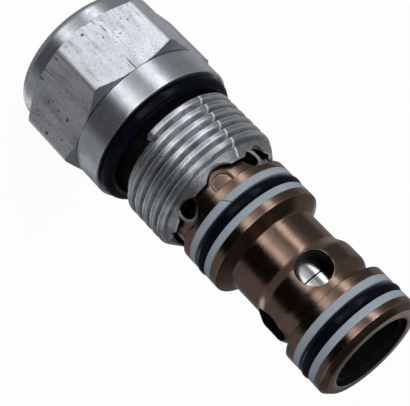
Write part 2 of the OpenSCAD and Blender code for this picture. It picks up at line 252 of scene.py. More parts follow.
lamp("key_box", facing=38, elevation=42, distance=0.6, size=0.35, watts=2.2)
lamp("fill_box", facing=-50, elevation=20, distance=0.7, size=0.5, watts=0.2)
print("lamps:", [light.name for light in bpy.data.lights])

# %% [markdown]
# ## Marks that several finishes share
# A lathe tool leaves fine rings, so the first group draws them from a point's distance from the axis and its
# height, and fades them in patches. Bar stock that is pulled through a die gets long scores and small dark
# pits, and handling leaves blotches and specks. A fourth group draws one straight line. Each is a node group,
# so that every finish can use it at its own size and strength.

# %% Group helper
def new_group(name, inputs, outputs):
    """A shader node group with its sockets, its input node and its output node."""
    group = bpy.data.node_groups.new(name, "ShaderNodeTree")
    for label, kind, value in inputs:
        socket = group.interface.new_socket(label, in_out="INPUT", socket_type="NodeSocket" + kind)
        if value is not None:
            socket.default_value = value
    for label, kind in outputs:
        group.interface.new_socket(label, in_out="OUTPUT", socket_type="NodeSocket" + kind)
    return group, group.nodes.new("NodeGroupInput"), group.nodes.new("NodeGroupOutput")


def add(tree, kind, inputs=None, **settings):
    """A node with its settings, whose inputs are plain values or other nodes' outputs."""
    node = tree.nodes.new("ShaderNode" + kind)
    for name, value in settings.items():
        setattr(node, name, value)
    for name, value in (inputs or {}).items():
        if isinstance(value, bpy.types.NodeSocket):
            tree.links.new(value, node.inputs[name])
        else:
            node.inputs[name].default_value = value
    return node


def maths(tree, operation, *values, **settings):
    """The result of a Math node, on plain values or other nodes' outputs."""
    return add(tree, "Math", dict(enumerate(values)), operation=operation, **settings).outputs[0]


def times(tree, first, second):
    """Two values multiplied."""
    return maths(tree, "MULTIPLY", first, second)


def ranged(tree, value, low, high, start=0.0, end=1.0):
    """A value moved from one range to another."""
    return add(tree, "MapRange", {"Value": value, "From Min": start, "From Max": end,
                                  "To Min": low, "To Max": high}).outputs["Result"]


# %% Turned rings
rings, given, out = new_group(
    "turned_rings",
    [("Rings per mm", "Float", 6.0), ("Depth", "Float", 0.2)],
    [("Mask", "Float"), ("Normal", "Vector")])
place = add(rings, "TexCoord").outputs["Object"]
part = add(rings, "SeparateXYZ", {0: place})
flat = add(rings, "CombineXYZ", {0: part.outputs["X"], 1: part.outputs["Y"]})
radius = add(rings, "VectorMath", {0: flat.outputs[0]}, operation="LENGTH").outputs["Value"]
line = add(rings, "CombineXYZ", {0: radius, 1: part.outputs["Z"]}).outputs[0]
per_metre = times(rings, given.outputs["Rings per mm"], 1 / MM)
fine = add(rings, "TexNoise", {"Vector": line, "Scale": per_metre, "Detail": 3.0, "Roughness": 0.7},
           noise_dimensions="2D").outputs["Fac"]
patch = add(rings, "TexNoise", {"Vector": place, "Scale": 220.0, "Detail": 2.0}).outputs["Fac"]
height = times(rings, fine, ranged(rings, patch, 0.55, 1.0, start=0.3, end=0.7))
lift = add(rings, "Bump", {"Height": height, "Strength": given.outputs["Depth"], "Distance": 0.00005})
rings.links.new(height, out.inputs["Mask"])
rings.links.new(lift.outputs["Normal"], out.inputs["Normal"])

# %% Draw marks and pits
drawn, given, out = new_group(
    "draw_marks",
    [("Pits", "Float", 1.0), ("Depth", "Float", 0.3)],
    [("Dark", "Float"), ("Streak", "Float"), ("Normal", "Vector")])
place = add(drawn, "TexCoord").outputs["Object"]


def stretched_noise(tree, along_z, scale, detail, low, high):
    """Noise drawn out along Z, kept between two of its levels."""
    pulled = add(tree, "Mapping", {"Vector": place, "Scale": (1, 1, along_z)}).outputs[0]
    noise = add(tree, "TexNoise", {"Vector": pulled, "Scale": scale, "Detail": detail, "Roughness": 0.65})
    return ranged(tree, noise.outputs["Fac"], 0.0, 1.0, start=low, end=high)


streak = stretched_noise(drawn, 0.06, 1500.0, 4.0, 0.25, 0.75)
smudge = stretched_noise(drawn, 0.22, 420.0, 3.0, 0.5, 0.72)
grain = stretched_noise(drawn, 0.7, 2600.0, 3.0, 0.5, 0.75)
thin = stretched_noise(drawn, 0.09, 1300.0, 2.0, 0.64, 0.7)
score = times(drawn, thin, stretched_noise(drawn, 0.5, 220.0, 1.0, 0.5, 0.58))
wobble = add(drawn, "TexNoise", {"Vector": place, "Scale": 1600.0, "Detail": 2.0}).outputs["Color"]
shift = (0.0005, 0.0005, 0.0005)
shifted = add(drawn, "VectorMath", {0: wobble, 1: shift, 2: place}, operation="MULTIPLY_ADD")
spots = []
for scale, size, limit in ((270.0, 0.13, 0.5), (620.0, 0.17, 0.55), (1300.0, 0.21, 0.5)):
    cell = add(drawn, "TexVoronoi", {"Vector": shifted.outputs[0], "Scale": scale, "Randomness": 1.0})
    near = ranged(drawn, cell.outputs["Distance"], 0.0, 1.0, start=size, end=size * 0.5)
    chance = add(drawn, "SeparateColor", {0: cell.outputs["Color"]}).outputs[0]
    spots.append(times(drawn, near, maths(drawn, "GREATER_THAN", chance, limit)))
both = maths(drawn, "MAXIMUM", spots[0], spots[1])
all_spots = maths(drawn, "MULTIPLY_ADD", spots[2], 0.75, both, use_clamp=True)
pits = times(drawn, all_spots, given.outputs["Pits"])
soft_marks = maths(drawn, "MULTIPLY_ADD", smudge, 0.42, times(drawn, grain, 0.4))
marked = maths(drawn, "MULTIPLY_ADD", score, 0.7, soft_marks)
dark = maths(drawn, "MULTIPLY_ADD", pits, 0.85, marked, use_clamp=True)
sunk = maths(drawn, "MULTIPLY_ADD", all_spots, -1.5, streak)
lift = add(drawn, "Bump", {"Height": sunk, "Strength": given.outputs["Depth"], "Distance": 0.00008})
drawn.links.new(dark, out.inputs["Dark"])
drawn.links.new(streak, out.inputs["Streak"])
drawn.links.new(lift.outputs["Normal"], out.inputs["Normal"])

# %% Blotches and specks
handled, given, out = new_group(
    "handling",
    [("Size in mm", "Float", 4.0), ("Specks", "Float", 0.5)],
    [("Blotch", "Float"), ("Speck", "Float")])
place = add(handled, "TexCoord").outputs["Object"]
scale = maths(handled, "DIVIDE", 1 / MM, given.outputs["Size in mm"])
cloud = add(handled, "TexNoise", {"Vector": place, "Scale": scale, "Detail": 5.0, "Roughness": 0.6})
blotch = ranged(handled, cloud.outputs["Fac"], 0.0, 1.0, start=0.35, end=0.65)
cell = add(handled, "TexVoronoi", {"Vector": place, "Scale": 650.0, "Randomness": 1.0})
dot = ranged(handled, cell.outputs["Distance"], 0.0, 1.0, start=0.16, end=0.07)
chance = add(handled, "SeparateColor", {0: cell.outputs["Color"]}).outputs[1]
limit = maths(handled, "SUBTRACT", 1.0, given.outputs["Specks"])
speck = times(handled, dot, maths(handled, "GREATER_THAN", chance, limit))
handled.links.new(blotch, out.inputs["Blotch"])
handled.links.new(speck, out.inputs["Speck"])

# %% A straight line and a distance from the axis
straight_band, given, out = new_group(
    "straight_band_mask",
    [("Low height in mm", "Float", 0.0), ("High height in mm", "Float", 1.0), ("Low azimuth", "Float", 0.0),
     ("Degrees per mm", "Float", 0.0), ("Width in degrees", "Float", 1.0)],
    [("Mask", "Float"), ("Radius in mm", "Float")])
part = add(straight_band, "SeparateXYZ", {0: add(straight_band, "TexCoord").outputs["Object"]})
flat = add(straight_band, "CombineXYZ", {0: part.outputs["X"], 1: part.outputs["Y"]})
radius = add(straight_band, "VectorMath", {0: flat.outputs[0]}, operation="LENGTH").outputs["Value"]
turned_by = maths(straight_band, "ARCTAN2", part.outputs["Y"], part.outputs["X"])
azimuth = maths(straight_band, "DEGREES", turned_by)
height = times(straight_band, part.outputs["Z"], 1 / MM)
above = maths(straight_band, "SUBTRACT", height, given.outputs["Low height in mm"])
line_at = maths(straight_band, "MULTIPLY_ADD", above, given.outputs["Degrees per mm"], given.outputs["Low azimuth"])
on_line = maths(straight_band, "COMPARE", azimuth, line_at, given.outputs["Width in degrees"])
over_low = maths(straight_band, "GREATER_THAN", above, 0.0)
under_high = maths(straight_band, "LESS_THAN", height, given.outputs["High height in mm"])
straight_band.links.new(times(straight_band, times(straight_band, on_line, over_low), under_high), out.inputs["Mask"])
straight_band.links.new(times(straight_band, radius, 1 / MM), out.inputs["Radius in mm"])
print("groups:", [group.name for group in (rings, drawn, handled, straight_band)])

# %% [markdown]
# ## Finishes
# Each finish starts from a Principled shader. Its plain numbers sit on the shader, and the groups vary what
# differs over the surface. The turned metals are also stretched along the axis with anisotropy, which is what
# thousands of rings too fine to model do to a reflection.

# %% Finish helper
def use(tree, group, **inputs):
    """Place a node group, with its inputs given by name."""
    node = tree.nodes.new("ShaderNodeGroup")
    node.node_tree = group
    for name, value in inputs.items():
        node.inputs[name.replace("_", " ")].default_value = value
    return node


def blend(tree, factor, first, second):
    """A colour between two others, where each may be a colour or a socket."""
    mix = tree.nodes.new("ShaderNodeMix")
    mix.data_type = "RGBA"
    tree.links.new(factor, mix.inputs["Factor"])
    for index, colour in ((6, first), (7, second)):
        if isinstance(colour, bpy.types.NodeSocket):
            tree.links.new(colour, mix.inputs[index])
        else:
            mix.inputs[index].default_value = (*colour, 1)
    return mix.outputs[2]


def finish(name, base, roughness, **plain):
    """A material whose shader already holds its plain numbers."""
    material, shader = new_material(name)
    shader.inputs["Base Color"].default_value = (*base, 1)
    shader.inputs["Roughness"].default_value = roughness
    for label, value in plain.items():
        shader.inputs[label.replace("_", " ")].default_value = value
    return material, shader, material.node_tree


def dress(tree, shader, colour, roughness, normal=None):
    """Give a shader what varies over it: its colour, its roughness and perhaps its relief."""
    tree.links.new(colour, shader.inputs["Base Color"])
    tree.links.new(roughness, shader.inputs["Roughness"])
    if normal is not None:
        tree.links.new(normal, shader.inputs["Normal"])


def around_axis(tree, shader):
    """Turn the anisotropy so that it follows rings around Z."""
    tangent = add(tree, "Tangent", direction_type="RADIAL", axis="Z")
    tree.links.new(tangent.outputs[0], shader.inputs["Tangent"])
    shader.inputs["Anisotropic Rotation"].default_value = 0.25


# %% Turned aluminium
turned_aluminium, shader, tree = finish("turned_aluminium", (0.78, 0.81, 0.85), 0.28,
                                        Metallic=0.94, Anisotropic=0.7)
around_axis(tree, shader)
marks = use(tree, rings, Rings_per_mm=6.0, Depth=0.5)
soil = use(tree, handled, Size_in_mm=2.2, Specks=0.06)
edge = add(tree, "Attribute", attribute_name="worn_and_highlit_edge")
tint = blend(tree, marks.outputs["Mask"], (0.66, 0.69, 0.73), (0.86, 0.885, 0.92))
tint = blend(tree, ranged(tree, soil.outputs["Blotch"], 0.0, 0.4), tint, (0.55, 0.57, 0.6))
# Narrow edges lighter: part wear, part painted highlight
tint = blend(tree, edge.outputs["Fac"], tint, (0.95, 0.95, 0.97))
tint = blend(tree, ranged(tree, soil.outputs["Speck"], 0.0, 0.8), tint, (0.05, 0.05, 0.055))
rough = ranged(tree, marks.outputs["Mask"], 0.32, 0.18)
rough = maths(tree, "MULTIPLY_ADD", soil.outputs["Blotch"], 0.06, rough)
dress(tree, shader, tint, rough, marks.outputs["Normal"])

# %% Thread aluminium
thread_aluminium, shader, tree = finish("thread_aluminium", (0.6, 0.63, 0.67), 0.34,
                                        Metallic=0.94, Anisotropic=0.5)
around_axis(tree, shader)
marks = use(tree, rings, Rings_per_mm=8.0, Depth=0.6)
soil = use(tree, handled, Size_in_mm=2.4, Specks=0.1)
edge = add(tree, "Attribute", attribute_name="worn_and_highlit_edge")
tint = blend(tree, marks.outputs["Mask"], (0.54, 0.565, 0.6), (0.8, 0.825, 0.86))
tint = blend(tree, ranged(tree, soil.outputs["Blotch"], 0.0, 0.55, start=0.3), tint, (0.28, 0.295, 0.315))
# Narrow edges lighter: part wear, part painted highlight
tint = blend(tree, edge.outputs["Fac"], tint, (0.95, 0.95, 0.97))
# A light grey, rougher and less metallic straight line across the thread
line = use(tree, straight_band, Low_height_in_mm=27.7, High_height_in_mm=41.95, Low_azimuth=-115.0,
           Degrees_per_mm=0.64, Width_in_degrees=0.9)
tint = blend(tree, line.outputs["Mask"], tint, (0.66, 0.69, 0.72))
tint = blend(tree, ranged(tree, soil.outputs["Speck"], 0.0, 0.8), tint, (0.05, 0.05, 0.055))
rough = ranged(tree, soil.outputs["Blotch"], 0.24, 0.4)
rough = maths(tree, "MULTIPLY_ADD", line.outputs["Mask"], 0.25, rough)
dress(tree, shader, tint, rough, marks.outputs["Normal"])
tree.links.new(ranged(tree, line.outputs["Mask"], 0.94, 0.35), shader.inputs["Metallic"])

# %% Drawn aluminium
drawn_aluminium, shader, tree = finish("drawn_aluminium", (0.86, 0.86, 0.92), 0.36, Metallic=0.95)
marks = use(tree, drawn, Pits=1.0, Depth=0.25)
soil = use(tree, handled, Size_in_mm=3.5, Specks=0.0)
# Painted highlight: the rounded hexagon corners, beyond 16.8 mm from the axis, are tinted near white and made
# rougher
corner = ranged(tree, use(tree, straight_band).outputs["Radius in mm"], 0.0, 1.0, start=16.8, end=17.0)
tint = blend(tree, marks.outputs["Streak"], (0.86, 0.87, 0.93), (0.95, 0.95, 1.0))
tint = blend(tree, ranged(tree, soil.outputs["Blotch"], 0.0, 0.3), tint, (0.6, 0.62, 0.68))
tint = blend(tree, marks.outputs["Dark"], tint, (0.05, 0.055, 0.065))
tint = blend(tree, corner, tint, (0.95, 0.95, 0.98))
rough = ranged(tree, marks.outputs["Streak"], 0.3, 0.42)
rough = maths(tree, "MULTIPLY_ADD", corner, 0.12, rough)
dress(tree, shader, tint, rough, marks.outputs["Normal"])

# %% Bronze coating on steel
bronze_coated_steel, shader, tree = finish("bronze_coated_steel", (0.35, 0.235, 0.18), 0.22, Metallic=1.0,
                                           Anisotropic=0.55, Coat_Weight=0.08, Coat_Roughness=0.2)
around_axis(tree, shader)
marks = use(tree, rings, Rings_per_mm=9.0, Depth=0.22)
soil = use(tree, handled, Size_in_mm=3.0, Specks=0.12)
edge = add(tree, "Attribute", attribute_name="worn_and_highlit_edge")
tint = blend(tree, marks.outputs["Mask"], (0.28, 0.182, 0.137), (0.41, 0.278, 0.215))
tint = blend(tree, ranged(tree, soil.outputs["Blotch"], 0.0, 0.35), tint, (0.24, 0.15, 0.112))
# Narrow edges lighter: part wear, part painted highlight
tint = blend(tree, ranged(tree, edge.outputs["Fac"], 0.0, 0.6), tint, (0.62, 0.47, 0.4))
tint = blend(tree, ranged(tree, soil.outputs["Speck"], 0.0, 0.7), tint, (0.02, 0.012, 0.01))
dress(tree, shader, tint, ranged(tree, soil.outputs["Blotch"], 0.21, 0.29), marks.outputs["Normal"])

# %% Bare rims of holes, and a painted highlight on the pocket rims
bare_rim, shader, tree = finish("bare_rim", (0.66, 0.64, 0.62), 0.38, Metallic=0.6)
soil = use(tree, handled, Size_in_mm=1.0, Specks=0.0)
tint = blend(tree, soil.outputs["Blotch"], (0.74, 0.73, 0.72), (0.55, 0.52, 0.49))
dress(tree, shader, tint, ranged(tree, soil.outputs["Blotch"], 0.32, 0.45))

# Painted highlight: a lighter bronze on the pocket countersinks, which carry the same coating as the cage
painted_highlight_bronze, shader, tree = finish("painted_highlight_bronze", (0.56, 0.4, 0.32), 0.36, Metallic=0.75)
soil = use(tree, handled, Size_in_mm=1.2, Specks=0.1)
tint = blend(tree, soil.outputs["Blotch"], (0.62, 0.45, 0.37), (0.46, 0.32, 0.25))
dress(tree, shader, tint, ranged(tree, soil.outputs["Blotch"], 0.3, 0.42))

# %% Painted shade: a near-black finish for bores, grooves, hole walls and the relief, standing in for their shade
painted_shade, shader, tree = finish("painted_shade", (0.006, 0.0055, 0.006), 0.4, Specular_IOR_Level=0.03)
soil = use(tree, handled, Size_in_mm=2.0, Specks=0.0)
tint = blend(tree, soil.outputs["Blotch"], (0.0042, 0.004, 0.0043), (0.0085, 0.0075, 0.0072))
dress(tree, shader, tint, ranged(tree, soil.outputs["Blotch"], 0.32, 0.48))

# %% Ground steel and spring steel
ground_steel, shader, tree = finish("ground_steel", (0.72, 0.73, 0.74), 0.2, Metallic=1.0, Anisotropic=0.4)
around_axis(tree, shader)
marks = use(tree, rings, Rings_per_mm=12.0, Depth=0.12)
soil = use(tree, handled, Size_in_mm=4.0, Specks=0.02)
tint = blend(tree, marks.outputs["Mask"], (0.62, 0.63, 0.645), (0.8, 0.81, 0.82))
tint = blend(tree, ranged(tree, soil.outputs["Blotch"], 0.0, 0.2), tint, (0.45, 0.45, 0.46))
dress(tree, shader, tint, ranged(tree, soil.outputs["Blotch"], 0.16, 0.26), marks.outputs["Normal"])

spring_steel, shader, tree = finish("spring_steel", (0.45, 0.45, 0.46), 0.32, Metallic=0.9)
soil = use(tree, handled, Size_in_mm=1.6, Specks=0.1)
tint = blend(tree, soil.outputs["Blotch"], (0.36, 0.36, 0.37), (0.55, 0.545, 0.54))
tint = blend(tree, soil.outputs["Speck"], tint, (0.07, 0.055, 0.045))
dress(tree, shader, tint, ranged(tree, soil.outputs["Blotch"], 0.25, 0.42))

# %% Black rubber
black_rubber, shader, tree = finish("black_rubber", (0.0022, 0.003, 0.0055), 0.2, Specular_IOR_Level=0.1)
soil = use(tree, handled, Size_in_mm=1.5, Specks=0.25)
tint = blend(tree, soil.outputs["Blotch"], (0.0018, 0.0024, 0.0045), (0.003, 0.004, 0.0075))
tint = blend(tree, ranged(tree, soil.outputs["Speck"], 0.0, 0.06), tint, (0.3, 0.31, 0.33))
dress(tree, shader, tint, ranged(tree, soil.outputs["Blotch"], 0.16, 0.24))
place = add(tree, "TexCoord").outputs["Object"]
grain = add(tree, "TexNoise", {"Vector": place, "Scale": 9000.0, "Detail": 2.0})
lift = add(tree, "Bump", {"Height": grain.outputs["Fac"], "Strength": 0.12, "Distance": 0.00002})
tree.links.new(lift.outputs["Normal"], shader.inputs["Normal"])

# %% White PTFE
white_ptfe, shader, tree = finish("white_ptfe", (0.285, 0.325, 0.37), 0.5, Specular_IOR_Level=0.35,
                                  Subsurface_Weight=0.12, Subsurface_Scale=0.0005)
marks = use(tree, rings, Rings_per_mm=5.0, Depth=0.1)
soil = use(tree, handled, Size_in_mm=2.5, Specks=0.08)
tint = blend(tree, soil.outputs["Blotch"], (0.275, 0.312, 0.355), (0.3, 0.342, 0.388))
tint = blend(tree, ranged(tree, soil.outputs["Speck"], 0.0, 0.5), tint, (0.16, 0.16, 0.16))
dress(tree, shader, tint, ranged(tree, marks.outputs["Mask"], 0.44, 0.56), marks.outputs["Normal"])

# %% [markdown]
# ## Turning, drilling and finishing
# Nearly every piece is turned, so one helper draws half a section as a line of points, rounds the corners
# that need it, and spins it once around the axis. Rounding the line before the spin takes a few short edges at a
# corner, where a bevel of the finished solid would have to find the same edges again all the way round.
# Holes that cross a wall are cut with Boolean modifiers, whose exact solver keeps the result closed.

# %% Turning helpers
def turned(points, steps=160, closed=False):
    """Spin (radius, height) points, in mm, about Z. A third number is the radius that rounds the corner."""
    bm = bmesh.new()
    verts = [bm.verts.new((p[0] * MM, 0, p[1] * MM)) for p in points]
    for pair in list(zip(verts, verts[1:])) + ([(verts[-1], verts[0])] if closed else []):
        bm.edges.new(pair)
    roundings = [p[2] if len(p) > 2 else 0 for p in points]
    for size in sorted(set(roundings) - {0}):
        corners = [v for v, r in zip(verts, roundings) if r == size]
        bmesh.ops.bevel(bm, geom=corners, offset=size * MM, affect="VERTICES",
                        segments=9 if size > 0.5 else 3, profile=0.5, material=-1)
    bmesh.ops.spin(bm, geom=[*bm.verts, *bm.edges], cent=(0, 0, 0), axis=(0, 0, 1), angle=2 * math.pi,
                   steps=steps, use_merge=True)
    bmesh.ops.remove_doubles(bm, verts=bm.verts, dist=1e-7)
    bmesh.ops.recalc_face_normals(bm, faces=bm.faces)
    return bm


def laid_out(make, azimuths, height):
    """Copies of a turned cutter, each laid over to point outwards at its azimuth, at that height."""
    cutters = bmesh.new()
    for azimuth in azimuths:
        one = make()
        turn = Matrix.Translation((0, 0, height * MM)) @ Matrix.Rotation(math.radians(azimuth), 4, "Z")
        bmesh.ops.transform(one, matrix=turn @ Matrix.Rotation(math.pi / 2, 4, "Y"), verts=one.verts)
        mesh = bpy.data.meshes.new("cutter")
        one.to_mesh(mesh)
        one.free()
        cutters.from_mesh(mesh)
    return cutters


# %% Solid helpers
def solid(name, bm):
    """An object made from a bmesh."""
    mesh = bpy.data.meshes.new(name)
    bm.to_mesh(mesh)
    bm.free()
    piece = bpy.data.objects.new(name, mesh)
    scene.collection.objects.link(piece)
    return piece


def combine(piece, operation, bm):
    """Join another solid to a piece, or cut it away."""
    tool = solid("tool", bm)
    modifier = piece.modifiers.new("combine", "BOOLEAN")
    modifier.operation, modifier.solver, modifier.object = operation, "EXACT", tool
    graph = bpy.context.evaluated_depsgraph_get()
    result = bpy.data.meshes.new_from_object(piece.evaluated_get(graph))
    piece.modifiers.clear()
    piece.data = result
    bpy.data.objects.remove(tool)


def ready(piece, body, materials, nodes, smooth=35, worn_and_highlit_below=0.2):
    """Smooth a piece, mark its narrow edges for a tint of wear and painted highlight, give it its finish and tie
    it to its body.
    """
    mesh = piece.data
    kinds = [polygon.material_index for polygon in mesh.polygons]
    mesh.materials.clear()
    for material in materials:
        mesh.materials.append(material)
    mesh.polygons.foreach_set("material_index", kinds)
    mesh.shade_smooth()
    mesh.set_sharp_from_angle(angle=math.radians(smooth))
    worn_and_highlit = mesh.attributes.new("worn_and_highlit_edge", "FLOAT", "FACE")
    for polygon, value in zip(mesh.polygons, worn_and_highlit.data):
        corners = [mesh.vertices[i].co for i in polygon.vertices]
        radii, heights = [Vector(c[:2]).length for c in corners], [c.z for c in corners]
        across = math.hypot(max(radii) - min(radii), max(heights) - min(heights))
        value.value = float(across < worn_and_highlit_below * MM)
    even = piece.modifiers.new("even", "WEIGHTED_NORMAL")
    even.keep_sharp = True
    piece.data = bpy.data.meshes.new_from_object(piece.evaluated_get(bpy.context.evaluated_depsgraph_get()))
    piece.modifiers.clear()
    piece.data.name = piece.name
    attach(piece, body)
    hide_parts(*nodes)
    print(piece.name, "faces:", len(piece.data.polygons))
    return piece


# %% [markdown]
# ## Hexagon plug
# The real plug is turned from drawn hexagon bar: the boss, the collar, the relief under the O-ring and the
# thread are cut on a lathe, and the flats keep the skin of the bar. So the core is turned, the hexagon is
# extruded and chamfered by a turned cone, and both are joined. The thread is a ridge spun with a rise at
# each step, and a short piece of ridge before it ends bluntly. It could be a row of rings, but a real thread
# starts and runs out, and the eye notices.

# %% Plug: heights from the frame
plug_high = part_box("hex_plug")[1]
hex_corner = plug_high.x / MM
skirt_end = plug_high.z / MM
print("hexagon corner radius:", round(hex_corner, 2), "skirt end:", round(skirt_end, 2))

# %% Plug: turned core
boss_radius, collar_radius, relief_radius, root_radius = 15.3, 15.35, 11.7, 12.19
boss_top, collar_low, seat = 4.35, 18.0, 24.0
core = turned([(0, 0), (boss_radius, 0, 2.0), (boss_radius, boss_top, 0.05), (14.6, boss_top),
               (14.6, collar_low), (collar_radius, collar_low, 0.1), (collar_radius, 23.85, 0.1),
               (15.2, seat, 0.05), (14.85, seat, 0.05), (14.75, 23.5), (relief_radius, 23.5, 0.2),
               (relief_radius, 28.9), (root_radius, 29.3), (root_radius, 43.5), (0, 43.5)])
hex_plug = solid("hex_plug_body", core)
print("seat height in mm:", seat)

# %% Plug: hexagon
across_flats = 30.2
hexagon = bmesh.new()
bar_corner = across_flats / 2 / math.cos(math.pi / 6) * MM
bmesh.ops.create_circle(hexagon, cap_ends=True, segments=6, radius=bar_corner)
bmesh.ops.translate(hexagon, verts=hexagon.verts, vec=(0, 0, 4.2 * MM))
turn_to_x = min((math.atan2(v.co.y, v.co.x) for v in hexagon.verts), key=abs)
bmesh.ops.rotate(hexagon, verts=hexagon.verts, cent=(0, 0, 0), matrix=Matrix.Rotation(-turn_to_x, 3, "Z"))
raised = bmesh.ops.extrude_face_region(hexagon, geom=hexagon.faces[:])
bmesh.ops.translate(hexagon, verts=[g for g in raised["geom"] if isinstance(g, bmesh.types.BMVert)],
                    vec=(0, 0, 13.6 * MM))
upright = [e for e in hexagon.edges if abs(e.verts[0].co.z - e.verts[1].co.z) > MM]
bmesh.ops.bevel(hexagon, geom=upright, offset=0.9 * MM, affect="EDGES", segments=6, profile=0.5,
                material=-1)
bmesh.ops.recalc_face_normals(hexagon, faces=hexagon.faces)
hex_bar = solid("hex_bar", hexagon)
slope = math.tan(math.radians(30))
hexagon_top = 17.8
chamfer = turned([(0, 4.25), (boss_radius - 0.1 / slope, 4.25), (18.5, boss_top + 3.2 * slope),
                  (18.5, hexagon_top - 3.2 * slope), (boss_radius, hexagon_top), (0, hexagon_top)])
combine(hex_bar, "INTERSECT", chamfer)
edge_soften = hex_bar.modifiers.new("soften", "BEVEL")
edge_soften.width, edge_soften.segments, edge_soften.limit_method = 0.12 * MM, 2, "ANGLE"
edge_soften.angle_limit = math.radians(24)
hex_bar.data = bpy.data.meshes.new_from_object(hex_bar.evaluated_get(bpy.context.evaluated_depsgraph_get()))
hexagon = bmesh.new()
hexagon.from_mesh(hex_bar.data)
bpy.data.objects.remove(hex_bar)
combine(hex_plug, "UNION", hexagon)
print("across flats in mm:", across_flats)

# %% Plug: helical thread
pitch, crest_radius, per_turn = 2.117, 13.49, 96
half_crest, half_foot, base = 0.52, 1.02, root_radius - 0.7
section = [(base, -half_foot), (root_radius, -half_foot), (crest_radius, -half_crest),
           (crest_radius, half_crest), (root_radius, half_foot), (base, half_foot)]


def ridge(azimuth, height, turns):
    """A rising ridge that starts at an azimuth and a height, rounded off at both ends."""
    bm = bmesh.new()
    first = [bm.verts.new((r * MM, 0, (height + z) * MM)) for r, z in section]
    for pair in zip(first, first[1:] + first[:1]):
        bm.edges.new(pair)
    bmesh.ops.bevel(bm, geom=first[2:4], offset=0.24 * MM, affect="VERTICES", segments=3, profile=0.5,
                    material=-1)
    bmesh.ops.rotate(bm, verts=bm.verts, cent=(0, 0, 0),
                     matrix=Matrix.Rotation(math.radians(azimuth), 3, "Z"))
    steps = round(turns * per_turn)
    bmesh.ops.spin(bm, geom=[*bm.verts, *bm.edges], cent=(0, 0, 0), axis=(0, 0, 1),
                   dvec=(0, 0, pitch / per_turn * MM), angle=2 * math.pi * turns, steps=steps)
    bmesh.ops.holes_fill(bm, edges=[e for e in bm.edges if e.is_boundary], sides=0)
    last, run_out = turns * 360, 5
    for vert in bm.verts:
        rough_turn = (vert.co.z / MM - height) / pitch * 360
        past = (math.degrees(math.atan2(vert.co.y, vert.co.x)) - azimuth) % 360
        past += 360 * round((rough_turn - past) / 360)
        end = min(past, last - past)
        if end < run_out:
            share = max(math.sqrt(1 - (1 - max(end, 0) / run_out) ** 2), 0.45)
            radius, middle = Vector(vert.co[:2]).length / MM, height + pitch * past / 360
            vert.co.xy *= (base + (radius - base) * (0.5 + 0.5 * share)) / radius
            vert.co.z = (middle + (vert.co.z / MM - middle) * share) * MM
    bmesh.ops.recalc_face_normals(bm, faces=bm.faces)
    return bm


blunt_azimuth, blunt_height = -59, 28.85
combine(hex_plug, "UNION", ridge(blunt_azimuth - 160, blunt_height - pitch * 160 / 360, 160 / 360))
combine(hex_plug, "UNION", ridge(blunt_azimuth + 150, blunt_height + pitch * 150 / 360, 6.4))
print("thread pitch and outside radius in mm:", pitch, crest_radius)

# %% Plug: end cone, bore and scallops
bore_floor, skirt_bore = 8, 11.4
combine(hex_plug, "DIFFERENCE", turned([
    (0, skirt_end), (11.45, skirt_end), (11.6, 42.15, 0.1), (13.09, 40.0, 0.3), (13.7, 39.1),
    (17, 39.1), (17, 46), (0, 46)]))
combine(hex_plug, "DIFFERENCE", turned([
    (0, bore_floor), (8.6, bore_floor), (8.6, 28.65, 0.1), (skirt_bore, 28.65), (skirt_bore, 30.15),
    (11.75, 30.15), (11.75, 31.25), (skirt_bore, 31.25), (skirt_bore, 47), (0, 47)]))
scallop_radius, scallop_depth = 4.2, 1.2
scallop = [(0, 9), (scallop_radius, 9), (scallop_radius, 18), (0, 18)]
scallops = laid_out(lambda: turned(scallop, steps=64), [7.5 + 45 * k for k in range(8)],
                    skirt_end - scallop_depth + scallop_radius)
combine(hex_plug, "DIFFERENCE", scallops)
ready(hex_plug, "valve_body",
      [turned_aluminium, drawn_aluminium, painted_shade, thread_aluminium], ["hex_plug"])
drawn_slot, shade_slot, thread_slot = 1, 2, 3
thread_low = 27
for polygon in hex_plug.data.polygons:
    middle = polygon.center / MM
    out_by = Vector(middle[:2]).length
    outward = polygon.normal.xy @ middle.xy
    on_flat = 4.4 < middle.z < 17.75 and out_by > 14.95 and abs(polygon.normal.z) < 0.1
    under_collar = 17.75 < middle.z < 18.01 and out_by < 15
    in_relief = 23.4 < middle.z < 29.2 and 11.45 < out_by < 11.9
    in_bore = middle.z > bore_floor and out_by < 11.6 and outward < -0.5 * out_by
    if on_flat:
        polygon.material_index = drawn_slot
    # Painted shade: the groove under the collar, the relief under the O-ring and the bore get the near-black
    # finish
    elif under_collar or in_relief or in_bore:
        polygon.material_index = shade_slot
    elif middle.z > thread_low and outward > 0:
        polygon.material_index = thread_slot

# %% [markdown]
# ## Cage
# The cage is a steel sleeve with two sealing lands, turned inside and out, then cross-drilled and coated
# brown. Its section is one closed line. The port holes are drilled through it, and a narrow bevel or
# countersink leaves a bright rim. The blind pockets stop at the shoulder of the first land, so each looks
# like a letter D.

# %% Cage: turned section
def rise(r0, z0, r1, z1, count=7):
    """Points on a smooth rise or fall between two radii."""
    return [(r0 + (r1 - r0) * (1 - math.cos(math.pi * i / count)) / 2, z0 + (z1 - z0) * i / count)
            for i in range(count + 1)]


